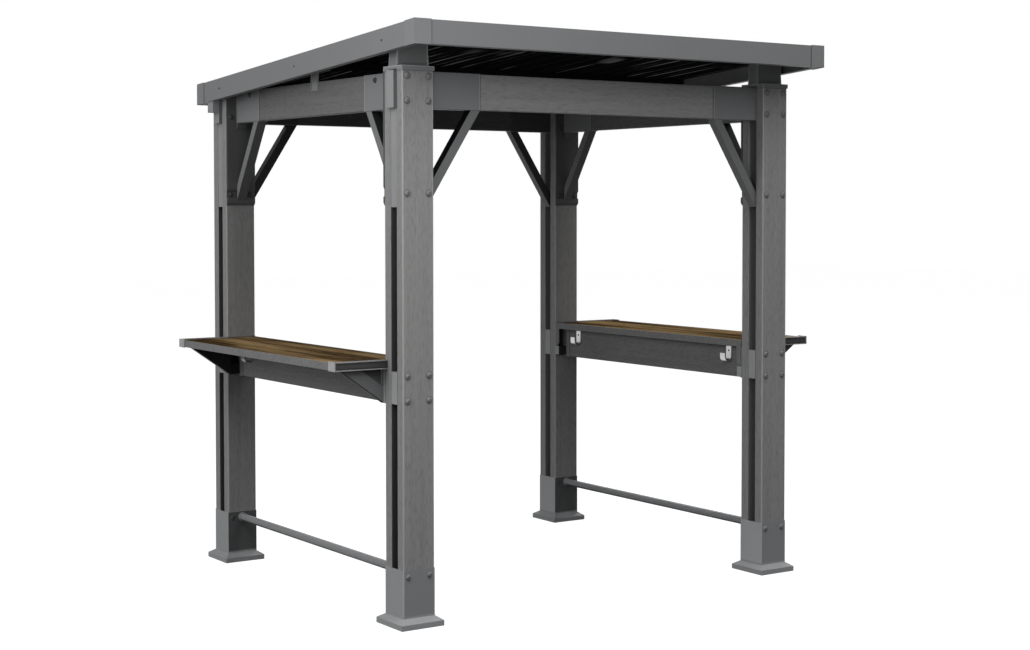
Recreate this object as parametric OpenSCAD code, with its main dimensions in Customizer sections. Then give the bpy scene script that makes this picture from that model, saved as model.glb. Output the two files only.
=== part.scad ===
// Grill gazebo: four double-board posts, a lean-to roof and two side counters.
// Millimetres, +Z up. The origin is on the ground, at the middle of the plan.
// The front, where the roof is high, faces -Y.

/* [Posts] */
// Distance between the left and right post centres
post_pitch_x = 1798; // [1600:1:2400]
// Distance between the front and rear post centres
post_pitch_y = 1568; // [1500:1:2000]
// Width of one post board
board_w = 136; // [126:1:150]
// Thickness of one post board
board_t = 46; // [40:1:60]
// Gap between the two boards of a post
groove = 44; // [42:1:50]
// Height of the board tops above the ground
post_top = 2132; // [2125:1:2140]
// Radius of the long edges of a board
board_edge = 4; // [3:0.5:8]

/* [Boots] */
// Height of a boot
boot_h = 222; // [180:1:300]
// Width of the foot flange, left to right
foot_w = 186; // [170:1:220]
// Depth of the foot flange, front to back
foot_d = 198; // [180:1:230]
// Height of the flange's upright edge
foot_edge = 21; // [15:1:25]

/* [Beams and braces] */
// Height of a beam
beam_h = 139; // [120:1:150]
// Thickness of a beam
beam_t = 41; // [36:1:41]
// Height of the beam tops above the ground
beam_top = 2116; // [2100:1:2116]
// Reach of the sleeves, from the post's face
sleeve_reach = 240; // [150:1:300]
// Distance a brace reaches along the beam, from the post's face
brace_run = 241; // [200:1:300]
// Drop of a brace, from the beam's underside to its foot
brace_drop = 377; // [330:1:377]
// Depth of a brace, square to its length
brace_w = 37; // [25:1:45]

/* [Roof] */
// Height of the roof's front top edge
roof_front_z = 2290; // [2287:1:2320]
// Fall of the roof, from the front edge to the rear edge
roof_fall = 136; // [100:1:136]
// Reach of the roof past the post centres, at each side
roof_side = 117.6; // [110:0.2:160]
// Reach of the roof past the front post centres
roof_front = 245; // [200:1:300]
// Reach of the roof past the rear post centres
roof_rear = 128; // [110:1:160]
// Height of the fascia boards
fascia_h = 90; // [80:1:110]
// Number of roof panels across the width
panel_count = 4; // [3:1:6]
// Ribs in one roof panel
ribs_per_panel = 5; // [3:1:6]
// Height of a roof rib
rib_h = 14; // [8:1:16]

/* [Counters] */
// Height of the counters' upper edge
counter_z = 1014; // [950:1:1050]
// Reach of a counter past the posts' outer faces
counter_out = 227; // [200:1:300]
// Reach of a counter past the front posts' inner faces
counter_front = 22; // [15:1:30]
// Height of a counter's rim, along its sides
rim_h = 30; // [28:1:40]
// Height of the end rails and corner pieces of a counter
rail_h = 36; // [34:1:45]
// Long planks of one counter, outside the posts
outer_planks = 2; // [1:1:4]
// Height of the apron's underside
apron_z = 843; // [820:1:860]

/* [Fittings] */
// Diameter of a footrest bar
footrest_d = 33; // [25:1:38]
// Height of a footrest bar's centre
footrest_z = 197; // [120:1:197]
// Width of a tool hook's strap
hook_w = 34; // [20:1:40]
// Distance of a hook from the post's inner face
hook_inset = 139; // [130:1:300]
// Diameter of a post bolt's head
bolt_d = 24; // [16:1:26]

/* [Hidden] */
$fn = 48;

// Plan
eps = 0.1;
post_x = post_pitch_x / 2;
post_d = 2 * board_t + groove;
plan_shift = (roof_front - roof_rear) / 2;
front_y = -post_pitch_y / 2 - roof_front + plan_shift;
rear_y = post_pitch_y / 2 + roof_rear + plan_shift;
roof_x = post_x + roof_side;
inner_y = post_pitch_y / 2 - post_d / 2;
half_w = board_w / 2;
half_d = post_d / 2;

// Sheet and tube walls
tube_wall = 1.5;
sheet = 2;
plate = 3;

// Boots
base_plate = 8;
boot_sheet = 1;
boot_x = half_w + boot_sheet;
boot_y = half_d + boot_sheet;
flare_h = 17;
flare_top = foot_edge + flare_h;

// Post tops
cap_top = post_top + sheet;
cap_size = 142;
cap_notch_w = 62;
cap_notch_h = 6;
riser_depth = 59;
riser_foot_w = 142;
riser_head_w = 134;
riser_taper_h = 56;

// Beams
beam_bottom = beam_top - beam_h;
end_cap_w = 56;
end_cap_h = beam_h + 3;
end_cap_out = 15;
hanger_t = 10;
hanger_recess = 2;
collar_z = beam_bottom - brace_drop;
brace_foot = 15;
side_brace_lap = 10;
spacer_bottom = collar_z;
spacer_depth = 90;
spacer_gap = 2;

// Roof
roof_slope = roof_fall / (rear_y - front_y);
sheet_drop = 22;
purlin_w = 50;
purlin_h = 28;
front_purlin = -post_pitch_y / 2 + 1;
middle_purlin = -56;
rear_purlin = post_pitch_y / 2 - 108;
purlin_offsets = [front_purlin, middle_purlin, rear_purlin];
tie_gap = 5;
tie_h = beam_h - 46;
fascia_lip = 30;
cover_leg = 71;
panel_t = 1.5;

// Counters, measured outwards from a post's centre
rim_bottom = counter_z - rim_h;
rail_top = counter_z + 4;
rail_bottom = rail_top - rail_h;
rail_lip = 5;
corner_proud = 4;
corner_len = 50;
plank_top = counter_z - 1;
plank_t = 21;
plank_bottom = plank_top - plank_t;
outer_edge = half_w + counter_out;
counter_front_y = -inner_y - counter_front;
counter_rear_y = inner_y - 1;
rail_depth = 8;
post_gap = 4;
plank_rear_y = counter_rear_y - rail_depth - 0.5;
ledge = 20;
apron_top = rail_bottom;
saddle_len = 60;
bracket_z = apron_z + 5;
wing_z = bracket_z + 5;
wing_h = 44;
wing_depth = 28;
strut_face = 16;
strut_inset = 31;
strut_w = 52;
strut_depth = 20;
counter_spacer_z = counter_z - 164;
counter_spacer_h = 124;

// Fittings
socket_d = 42;
socket_t = 12;
hook_t = 3;
hook_r = 19.5;
hook_low = counter_z - 104;
hook_plate_h = 67;
hook_arm_h = 37;
hook_screw_z = counter_z - 57;
bolt_h = 8;
bolt_side = 47;
screw_d = 9;
screw_h = 3;
beam_rows = [beam_top - 21, beam_top - 115];
counter_rows = [counter_z - 54, counter_z - 149];
brace_row = collar_z + 52;
boot_row = boot_h - 26;
sleeve_bolt_y = inner_y - 152;
sleeve_bolt_z = beam_top - 22;
strap_y = -57;
strap_w = 62;
strap_depth = 6;
strap_lap = 37;

function post_y(sy) = sy * post_pitch_y / 2 + plan_shift;
function roof_z(y) = roof_front_z - roof_slope * (y - front_y);

// A child is drawn for one post: +X and +Y point outwards, away from the grill.
module at_post(sx, sy) {
    translate([sx * post_x, post_y(sy), 0])
        mirror([sx < 0 ? 1 : 0, 0, 0])
            mirror([0, sy < 0 ? 1 : 0, 0])
                children();
}

module at_all_posts() {
    for (sx = [-1, 1], sy = [-1, 1]) at_post(sx, sy) children();
}

// A child is drawn for one side: +X points outwards from the post's centre line.
module at_side(sx) {
    translate([sx * post_x, plan_shift, 0])
        mirror([sx < 0 ? 1 : 0, 0, 0])
            children();
}

// Profiles drawn in the XZ plane, and in the YZ plane, then given a width.
module across_y(width) {
    rotate([90, 0, 0]) linear_extrude(width, center = true) children();
}

module across_x(width) {
    rotate([90, 0, 90]) linear_extrude(width, center = true) children();
}

module round_rect(w, h, r) {
    square([w - 2 * r, h], center = true);
    square([w, h - 2 * r], center = true);
    for (sx = [-1, 1], sy = [-1, 1])
        translate([sx * (w / 2 - r), sy * (h / 2 - r)]) circle(r);
}

module tube_section(w, h, r, wall) {
    difference() {
        round_rect(w, h, r);
        round_rect(w - 2 * wall, h - 2 * wall, r - wall);
    }
}

module square_tube_section(w, h, wall) {
    difference() {
        square([w, h], center = true);
        square([w - 2 * wall, h - 2 * wall], center = true);
    }
}

// Posts
module post_board(sx, sy, side) {
    color("#6b6d6f")
        at_post(sx, sy)
            translate([0, side * (groove + board_t) / 2, base_plate])
                linear_extrude(post_top - base_plate)
                    tube_section(board_w, board_t, board_edge, tube_wall);
}

module boot_outline(foot, column, low, inset) {
    polygon([
        [-foot, low], [foot, low], [foot, foot_edge - inset / 2], [column, flare_top - inset / 2],
        [column, boot_h + inset], [-column, boot_h + inset], [-column, flare_top - inset / 2],
        [-foot, foot_edge - inset / 2]
    ]);
}

// The inset is 0 for the outside and the sheet's thickness for the inside.
module boot_form(inset, low) {
    intersection() {
        across_y(foot_d - 2 * inset)
            boot_outline(foot_w / 2 - inset, boot_x - inset, low, inset);
        across_x(foot_w - 2 * inset)
            boot_outline(foot_d / 2 - inset, boot_y - inset, low, inset);
    }
}

module boot(sx, sy) {
    color("#707274")
        at_post(sx, sy)
            difference() {
                boot_form(0, 0);
                boot_form(boot_sheet, base_plate);
            }
}

module post_cap() {
    difference() {
        translate([-cap_size / 2, -cap_size / 2, beam_top])
            cube([cap_size, cap_size, cap_top - beam_top]);
        translate([-cap_size / 2 + sheet, -cap_size / 2 + sheet, beam_top - eps])
            cube([cap_size - 2 * sheet, cap_size - 2 * sheet, post_top - beam_top + eps]);
        translate([-cap_size / 2 - eps, -cap_notch_w / 2, beam_top - eps])
            cube([cap_size + 2 * eps, cap_notch_w, cap_notch_h + eps]);
    }
}

module post_caps() {
    color("#7b7d7f") at_all_posts() post_cap();
}

module riser_outline(inset) {
    foot = riser_foot_w / 2 - inset;
    head = riser_head_w / 2 - inset;
    polygon([
        [-foot, cap_top], [foot, cap_top], [head, cap_top + riser_taper_h], [head, roof_front_z],
        [-head, roof_front_z], [-head, cap_top + riser_taper_h]
    ]);
}

// A short box on each front post carries the high side of the roof. It narrows a little upwards.
module post_riser() {
    difference() {
        across_y(riser_depth) riser_outline(0);
        across_y(riser_depth - 2 * sheet) translate([0, sheet]) riser_outline(sheet);
    }
}

module post_risers() {
    color("#606264")
        intersection() {
            for (sx = [-1, 1]) at_post(sx, -1) post_riser();
            under_purlins();
        }
}

module under_purlins() {
    reach = 120;
    near = post_y(-1) - reach;
    far = post_y(-1) + reach;
    drop = sheet_drop + purlin_h;
    across_x(2 * roof_x)
        polygon([[near, 0], [far, 0], [far, roof_z(far) - drop], [near, roof_z(near) - drop]]);
}

// The upper spacers fill the outer half of the groove, between the brace's foot and the beam.
module upper_spacers() {
    color("#7a7c7e")
        at_all_posts()
            translate([half_w - spacer_gap - spacer_depth / 2, 0, spacer_bottom])
                linear_extrude(beam_bottom - spacer_gap - spacer_bottom)
                    square_tube_section(spacer_depth, groove - spacer_gap, tube_wall);
}

module counter_spacers() {
    color("#7f8183")
        at_all_posts()
            translate([0, 0, counter_spacer_z])
                linear_extrude(counter_spacer_h)
                    square_tube_section(board_w - spacer_gap, groove - spacer_gap, tube_wall);
}

// Beams
module beam_bar(length) {
    rotate([0, 90, 0])
        linear_extrude(length, center = true)
            tube_section(beam_h, beam_t, 4, tube_wall);
}

module cross_beam(sy) {
    color("#67696b")
        translate([0, post_y(sy), beam_top - beam_h / 2])
            beam_bar(post_pitch_x + board_w);
}

module side_beam(sx) {
    color("#67696b")
        translate([sx * post_x, plan_shift, beam_top - beam_h / 2])
            rotate([0, 0, 90])
                beam_bar(2 * (inner_y - hanger_t));
}

module beam_sleeve(length) {
    rotate([0, 90, 0])
        linear_extrude(length, center = true)
            difference() {
                round_rect(beam_h + 2 * sheet, beam_t + 2 * sheet, 4);
                round_rect(beam_h, beam_t, 3);
            }
}

module cross_beam_sleeves(sy) {
    color("#77797b")
        for (sx = [-1, 1])
            translate([sx * (post_x - half_w - sleeve_reach / 2), post_y(sy), beam_top - beam_h / 2])
                beam_sleeve(sleeve_reach);
}

module side_beam_sleeves(sx) {
    length = sleeve_reach - hanger_t;
    color("#77797b")
        for (sy = [-1, 1])
            translate([sx * post_x, plan_shift + sy * (inner_y - hanger_t - length / 2), beam_top - beam_h / 2])
                rotate([0, 0, 90]) beam_sleeve(length);
}

// A cap closes each beam end outside the post and laps both boards.
module beam_end_cap() {
    translate([half_w, 0, beam_top - beam_h / 2])
        difference() {
            translate([0, -end_cap_w / 2, -end_cap_h / 2]) cube([end_cap_out, end_cap_w, end_cap_h]);
            translate([-eps, -end_cap_w / 2 + sheet, -end_cap_h / 2 + sheet])
                cube([end_cap_out - sheet + eps, end_cap_w - 2 * sheet, end_cap_h - 2 * sheet]);
        }
}

module beam_end_caps() {
    color("#85878a") at_all_posts() beam_end_cap();
}

// A hanger carries the side beam; its collar is the seat of the side brace.
module hanger(sx, sy) {
    recess = half_d + hanger_recess;
    face = half_d + hanger_t;
    collar_foot = collar_z + 6;
    collar_low = collar_z + 18;
    collar_high = collar_z + 40;
    recess_low = collar_high + 2;
    recess_high = collar_z + 68;
    plate_low = recess_high + 10;
    plate_high = beam_top - 1;
    lip = 18;
    lip_h = 28;
    lip_tip = 4;
    seat = beam_bottom - sheet;
    color("#77797b")
        at_post(sx, sy)
            union() {
                across_x(board_w)
                    polygon([
                        [-half_d, collar_foot], [-face, collar_low], [-face, collar_high],
                        [-recess, recess_low], [-recess, recess_high], [-face, plate_low],
                        [-face, plate_high], [-half_d, plate_high]
                    ]);
                across_x(beam_t + 2 * sheet)
                    polygon([
                        [-face + 1, seat], [-face - lip, seat], [-face - lip_tip, seat - lip_h],
                        [-face + 1, seat - lip_h]
                    ]);
            }
}

// The brace's lower edge meets the beam's underside and, at the height of the collar, the line x = -face.
// A positive shift carries the foot on into the post; a negative one stops it before that line.
module brace_outline(face, into) {
    rise = brace_drop / brace_run;
    along = brace_w * sqrt(1 + rise * rise);
    top_x = -face - brace_run + sheet / rise;
    foot_x = -face + into;
    foot_z = collar_z - min(into, 0) * rise;
    polygon(concat(
        [
            [top_x, beam_bottom - sheet], [top_x + along / rise, beam_bottom - sheet],
            [foot_x, collar_z + along - into * rise], [foot_x, foot_z]
        ],
        into > 0 ? [[-face, collar_z]] : []
    ));
}

module brace_hollow(face) {
    length = brace_drop + brace_run;
    translate([-face - brace_run, beam_bottom])
        rotate(-atan(brace_drop / brace_run))
            translate([-brace_w, tube_wall]) square([length, brace_w - 2 * tube_wall]);
}

module brace_solid(face, into) {
    difference() {
        linear_extrude(beam_t, center = true) brace_outline(face, into);
        linear_extrude(beam_t - 2 * tube_wall, center = true) brace_hollow(face);
    }
}

module cross_brace(sx, sy) {
    color("#6c6e70")
        at_post(sx, sy)
            rotate([90, 0, 0]) brace_solid(half_w, brace_foot);
}

module side_brace(sx, sy) {
    color("#6c6e70")
        at_post(sx, sy)
            rotate([90, 0, 90]) brace_solid(half_d - side_brace_lap, -side_brace_lap - hanger_t);
}

// Roof: every outline follows the slope, and the fascias' ends are upright.
module roof_band(y0, y1, above, below) {
    polygon([
        [y0, roof_z(y0) - above], [y1, roof_z(y1) - above],
        [y1, roof_z(y1) - below], [y0, roof_z(y0) - below]
    ]);
}

module cross_fascia(edge, inwards, tint) {
    web = edge + inwards * sheet;
    lip = edge + inwards * fascia_lip;
    color(tint)
        union() {
            across_x(2 * roof_x) roof_band(edge, web, 0, fascia_h);
            across_x(2 * (roof_x - sheet)) {
                roof_band(edge, lip, 0, sheet);
                roof_band(edge, lip, fascia_h - sheet, fascia_h);
            }
        }
}

module side_fascia(sx) {
    lip_y0 = front_y + fascia_lip + 1;
    lip_y1 = rear_y - fascia_lip - 1;
    color("#808284") {
        translate([sx * (roof_x - sheet / 2), 0, 0])
            across_x(sheet) roof_band(front_y + sheet, rear_y - sheet, 0, fascia_h);
        translate([sx * (roof_x - fascia_lip / 2), 0, 0])
            across_x(fascia_lip) {
                roof_band(lip_y0, lip_y1, 0, sheet);
                roof_band(lip_y0, lip_y1, fascia_h - sheet, fascia_h);
            }
    }
}

// An angle wraps each corner of the roof, a sheet's thickness proud of the fascias.
module roof_corner_cover(sx, edge, inwards) {
    outer = edge - inwards * sheet;
    inner = edge + inwards * cover_leg;
    difference() {
        translate([sx * (roof_x + sheet - cover_leg / 2 - sheet / 2), 0, 0])
            across_x(cover_leg + sheet) roof_band(outer, inner, -sheet, fascia_h + sheet);
        translate([sx * (roof_x - cover_leg), edge + inwards * cover_leg, 0])
            translate([-cover_leg, -cover_leg, roof_front_z - 2 * roof_fall])
                cube([2 * cover_leg, 2 * cover_leg, 3 * roof_fall]);
    }
}

module roof_corner_covers() {
    color("#86888a")
        for (sx = [-1, 1]) {
            roof_corner_cover(sx, front_y, 1);
            roof_corner_cover(sx, rear_y, -1);
        }
}

// A ribbed sheet, drawn as a closed outline across the slope.
function rib_points(width, lift) = [
    for (i = [0 : ribs_per_panel - 1])
        let (pitch = width / ribs_per_panel, mid = (i + 0.5) * pitch, foot = 0.24 * pitch, crown = 0.12 * pitch)
            each [[mid - foot, lift], [mid - crown, lift + rib_h], [mid + crown, lift + rib_h], [mid + foot, lift]]
];

function reversed(list) = [for (i = [len(list) - 1 : -1 : 0]) list[i]];

module panel_section(width) {
    polygon(concat(
        [[0, panel_t]], rib_points(width, panel_t), [[width, panel_t]],
        [[width, 0]], reversed(rib_points(width, 0)), [[0, 0]]
    ));
}

module roof_panels() {
    gap = 1;
    start_y = front_y + 5;
    run = (rear_y - front_y - 12) / cos(atan(roof_slope));
    width = 2 * (roof_x - sheet - 1) / panel_count;
    color("#2c2d2e")
        for (i = [0 : panel_count - 1])
            translate([-roof_x + sheet + 1 + i * width + gap / 2, start_y, roof_z(start_y) - sheet_drop + eps])
                rotate([-atan(roof_slope), 0, 0])
                    rotate([90, 0, 0])
                        translate([0, 0, -run])
                            linear_extrude(run) panel_section(width - gap);
}

module purlins() {
    color("#2f3032")
        for (offset = purlin_offsets)
            across_x(2 * (roof_x - sheet))
                difference() {
                    roof_band(offset + plan_shift - purlin_w / 2, offset + plan_shift + purlin_w / 2,
                        sheet_drop, sheet_drop + purlin_h);
                    roof_band(offset + plan_shift - purlin_w / 2 + tube_wall,
                        offset + plan_shift + purlin_w / 2 - tube_wall,
                        sheet_drop + tube_wall, sheet_drop + purlin_h - tube_wall);
                }
}

// A strap on the outer face of each side beam holds the middle purlin.
module roof_tie_straps() {
    mid_y = plan_shift + strap_y;
    low = beam_top - strap_lap;
    color("#737577")
        for (sx = [-1, 1])
            at_side(sx)
                translate([beam_t / 2, strap_y, 0])
                    intersection() {
                        difference() {
                            translate([0, -strap_w / 2, low]) cube([strap_depth, strap_w, roof_front_z - low]);
                            translate([sheet, -strap_w / 2 + plate, low + plate])
                                cube([strap_depth, strap_w - 2 * plate, roof_front_z - low]);
                        }
                        translate([0, -mid_y, 0])
                            across_x(4 * strap_depth)
                                roof_band(mid_y - strap_w, mid_y + strap_w, sheet_drop + purlin_h, roof_front_z);
                    }
}

// A block stands on the rear beam's end cap, under the side fascia.
module roof_tie_blocks() {
    low = beam_top - tie_h;
    near = half_w + end_cap_out;
    reach = roof_side - tie_gap - near;
    height = roof_front_z - low;
    color("#7a7c7e")
        for (sx = [-1, 1])
            intersection() {
                at_post(sx, 1)
                    difference() {
                        translate([near, -end_cap_w / 2, low]) cube([reach, end_cap_w, height]);
                        translate([near + sheet, -end_cap_w / 2 + sheet, low + sheet])
                            cube([reach - 2 * sheet, end_cap_w - 2 * sheet, height]);
                    }
                across_x(2 * roof_x) roof_band(post_y(1) - end_cap_w, post_y(1) + end_cap_w, fascia_h, low);
            }
}

// Counters
module plank(x0, width, front) {
    edge = 1.5;
    translate([x0, plank_rear_y, 0])
        rotate([90, 0, 0])
            linear_extrude(plank_rear_y - front)
                polygon([
                    [0, plank_bottom], [width, plank_bottom], [width, plank_top - edge],
                    [width - edge, plank_top], [edge, plank_top], [0, plank_top - edge]
                ]);
}

// One plank lies between the posts, and the outer ones run on past the front post.
module counter_planks(sx) {
    gap = 1;
    start = half_w + post_gap;
    inner_start = -half_w + plate + 0.5;
    pitch = (outer_edge - plate - 0.5 - start + gap) / outer_planks;
    color("#5c4a30")
        at_side(sx) {
            plank(inner_start, start - 1.5 * gap - inner_start, -inner_y + post_gap + 1);
            for (i = [0 : outer_planks - 1])
                plank(start + i * pitch, pitch - gap, counter_front_y + rail_depth + 0.5);
        }
}

// An edge rim is an upright sheet with a ledge under the planks.
module edge_rim(x0, inwards, y0, y1) {
    ledge_end = 2 * ledge;
    translate([min(x0, x0 + inwards * plate), y0, rim_bottom]) cube([plate, y1 - y0, rim_h]);
    translate([min(x0, x0 + inwards * ledge), y0 + ledge_end, plank_bottom - plate])
        cube([ledge, y1 - y0 - 2 * ledge_end, plate]);
}

// An end rail is a channel that opens away from the counter. Its top stands proud of the planks.
module end_rail(x0, x1, y, outwards) {
    low_y = min(y, y - outwards * rail_depth);
    bead_z = rail_bottom + 9;
    bead_depth = rail_depth - plate;
    translate([x0, low_y, rail_top - rail_lip]) cube([x1 - x0, rail_depth, rail_lip]);
    translate([x0, low_y, rail_bottom]) cube([x1 - x0, rail_depth, plate]);
    translate([x0, outwards > 0 ? low_y : low_y + plate, bead_z]) cube([x1 - x0, bead_depth, sheet]);
    translate([x0, outwards > 0 ? low_y : low_y + rail_depth - plate, rail_bottom])
        cube([x1 - x0, plate, rail_h]);
}

module counter_tab(y0, y1, chamfer_to) {
    tip = 12;
    proud = 1;
    low = wing_z + wing_h + plate;
    high = plank_top;
    slant = chamfer_to * tip;
    translate([-half_w + (plate - proud) / 2, 0, 0])
        across_x(plate + proud)
            polygon(chamfer_to > 0
                ? [[y0, low + tip], [y0 + slant, low], [y1, low], [y1, high], [y0, high]]
                : [[y0, low], [y1 + slant, low], [y1, low + tip], [y1, high], [y0, high]]);
}

module corner_cap(y0) {
    translate([outer_edge - plate, y0, rail_bottom]) cube([plate + corner_proud, corner_len, rail_h]);
}

// A thin strip carries the rim round the corner of the front post.
module counter_frame(sx) {
    tab = 26;
    tab_y = inner_y - 6;
    strip = 1;
    post_side = half_w + 2;
    near_y = -inner_y + post_gap;
    color("#838587")
        at_side(sx)
            union() {
                edge_rim(outer_edge, -1, counter_front_y, counter_rear_y);
                edge_rim(-half_w, 1, near_y, counter_rear_y);
                end_rail(post_side, outer_edge - plate, counter_front_y, -1);
                end_rail(-half_w + plate, outer_edge - plate, counter_rear_y, 1);
                translate([post_side, counter_front_y, rim_bottom])
                    cube([strip, near_y + strip - counter_front_y, rim_h - 1]);
                translate([-half_w, near_y, rim_bottom])
                    cube([half_w + post_side, strip, rim_h - 1]);
                counter_tab(-tab_y, -tab_y + tab, -1);
                counter_tab(tab_y - tab, tab_y, 1);
                corner_cap(counter_front_y);
                corner_cap(counter_rear_y - corner_len);
            }
}

module apron(sx) {
    color("#5f6163")
        at_side(sx)
            translate([0, 0, (apron_z + apron_top) / 2])
                rotate([0, 90, 90])
                    linear_extrude(2 * (inner_y - plate - 0.5), center = true)
                        tube_section(apron_top - apron_z, beam_t, 4, tube_wall);
}

// The strut is a channel under the counter, drawn in the XZ plane.
module strut_outline(inset) {
    low = bracket_z;
    run = outer_edge - strut_inset - half_w;
    rise = (rim_bottom - low) / run;
    along = (strut_w - inset) * sqrt(1 + rise * rise);
    shift = inset * sqrt(1 + rise * rise);
    polygon([
        [half_w, low + shift], [half_w + run - shift / rise, rim_bottom],
        [half_w + (rim_bottom - low - along) / rise, rim_bottom], [half_w, low + along]
    ]);
}

// The web closes the triangle between the strut's lower edge, the rim and the post's outer face.
module web_outline() {
    run = outer_edge - strut_inset - half_w;
    polygon([[half_w, bracket_z], [half_w + run, rim_bottom], [half_w, rim_bottom]]);
}

module wing(x0) {
    width = half_w - beam_t / 2 - sheet;
    translate([x0, -half_d - plate - wing_depth, wing_z])
        difference() {
            cube([width, wing_depth, wing_h]);
            translate([sheet, sheet, -eps])
                cube([width - 2 * sheet, wing_depth - 2 * sheet, wing_h - sheet + eps]);
        }
}

module counter_bracket() {
    arm_top = plank_bottom - 1;
    arm_low = rail_bottom - sheet;
    arm_len = outer_edge - half_w - ledge;
    inside = beam_t / 2;
    outside = inside + sheet;
    saddle_z = apron_z - sheet;
    saddle_h = arm_low - saddle_z;
    flange_h = rail_bottom - 1 - bracket_z;
    union() {
        translate([-half_w, -half_d - plate, bracket_z]) cube([board_w, plate, flange_h]);
        for (side = [-1, 1])
            translate([side < 0 ? -outside : inside, -half_d - saddle_len, saddle_z])
                cube([sheet, saddle_len, saddle_h]);
        translate([-outside, -half_d - saddle_len, saddle_z]) cube([2 * outside, saddle_len, sheet]);
        wing(-half_w);
        wing(outside);
        translate([half_w - plate, -half_d - strut_face - plate, bracket_z])
            cube([plate, strut_face + plate, flange_h]);
        translate([0, -half_d - strut_face - plate / 2, 0])
            across_y(plate) strut_outline(0);
        translate([0, -half_d - strut_face - strut_depth / 2, 0])
            across_y(strut_depth)
                difference() {
                    strut_outline(0);
                    strut_outline(plate);
                }
        translate([0, -half_d - strut_face - strut_depth + sheet / 2, 0])
            across_y(sheet) web_outline();
        translate([half_w - plate, -half_d - strut_face - strut_depth, arm_low])
            cube([arm_len, strut_depth, rim_bottom - arm_low]);
        translate([half_w - plate, -half_d - strut_face - plate, arm_low])
            cube([arm_len, plate, arm_top - arm_low]);
    }
}

module counter_brackets(sx) {
    color("#6a6c6e")
        for (sy = [-1, 1]) at_post(sx, sy) counter_bracket();
}

// Fittings
// A J-shaped strap, drawn in the XZ plane with its back at x = 0 and the bend below.
module hook() {
    centre_z = hook_low + hook_r;
    plate_top = hook_low + hook_plate_h;
    arm_top = hook_low + hook_arm_h;
    across_y(hook_w) {
        translate([-hook_r, centre_z])
            difference() {
                circle(hook_r);
                circle(hook_r - hook_t);
                translate([-hook_r - 1, 0]) square([2 * hook_r + 2, hook_r + 1]);
            }
        translate([-hook_t, centre_z]) square([hook_t, plate_top - centre_z]);
        translate([-2 * hook_r, centre_z]) square([hook_t, arm_top - centre_z]);
    }
}

module at_hooks(sx) {
    inset = inner_y - hook_inset;
    at_side(sx) {
        for (sy = [-1, 1]) translate([-beam_t / 2, sy * inset, 0]) children();
        translate([beam_t / 2, inset, 0]) mirror([1, 0, 0]) children();
    }
}

module tool_hooks() {
    color("#d8d9da")
        for (sx = [-1, 1]) at_hooks(sx) hook();
}

module footrest(sx) {
    reach = post_pitch_y / 2 - boot_y - socket_t;
    bore = footrest_d - 2 * sheet;
    color("#6a6c6e")
        at_side(sx)
            translate([0, 0, footrest_z])
                rotate([90, 0, 0])
                    difference() {
                        cylinder(h = 2 * reach, d = footrest_d, center = true);
                        cylinder(h = 2 * reach + 1, d = bore, center = true);
                    }
}

module footrest_sockets() {
    rim_d = socket_d - 4;
    color("#5d5f61")
        at_all_posts()
            translate([0, -boot_y, footrest_z])
                rotate([90, 0, 0]) cylinder(h = socket_t, d1 = socket_d, d2 = rim_d);
}

// A domed bolt head on the plane z = 0, with a hexagon socket.
module bolt_head(diameter, height) {
    ball = (diameter * diameter / 4 + height * height) / (2 * height);
    socket_z = height * 0.55;
    socket_width = diameter * 0.42;
    difference() {
        intersection() {
            translate([0, 0, height - ball]) sphere(ball);
            cylinder(h = height + 1, d = diameter);
        }
        translate([0, 0, socket_z]) cylinder(h = height, d = socket_width, $fn = 6);
    }
}

// Rows of post bolts: [distance of the face from the post's centre, height].
module post_bolts() {
    outer_rows = concat(
        [for (z = concat(beam_rows, [brace_row], counter_rows)) [half_d, z]],
        [[boot_y, boot_row]]
    );
    inner_rows = [[half_d + hanger_t, beam_rows[1]], [half_d + hanger_recess, brace_row + 3], [boot_y, boot_row]];
    at_all_posts()
        for (side = [-1, 1]) {
            for (row = outer_rows)
                translate([side * bolt_side, row[0], row[1]])
                    rotate([-90, 0, 0]) bolt_head(bolt_d, bolt_h);
            for (row = inner_rows)
                translate([side * bolt_side, -row[0], row[1]])
                    rotate([90, 0, 0]) bolt_head(bolt_d, bolt_h);
        }
}

// One bolt on the outer face of each side beam's sleeves.
module sleeve_bolts() {
    for (sx = [-1, 1], sy = [-1, 1])
        at_side(sx)
            translate([beam_t / 2 + sheet, sy * sleeve_bolt_y, sleeve_bolt_z])
                rotate([0, 90, 0]) bolt_head(bolt_d, bolt_h);
}

module bolts() {
    color("#5b5d5f") {
        post_bolts();
        sleeve_bolts();
    }
}

module small_screws() {
    color("#3c3d3e")
        for (sx = [-1, 1]) {
            for (offset = purlin_offsets)
                translate([sx * roof_x, offset + plan_shift, roof_z(offset + plan_shift) - fascia_h / 2])
                    rotate([0, sx * 90, 0]) bolt_head(screw_d, screw_h);
            at_hooks(sx)
                translate([-hook_t, 0, hook_screw_z]) rotate([0, -90, 0]) bolt_head(screw_d, screw_h);
        }
}

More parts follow.
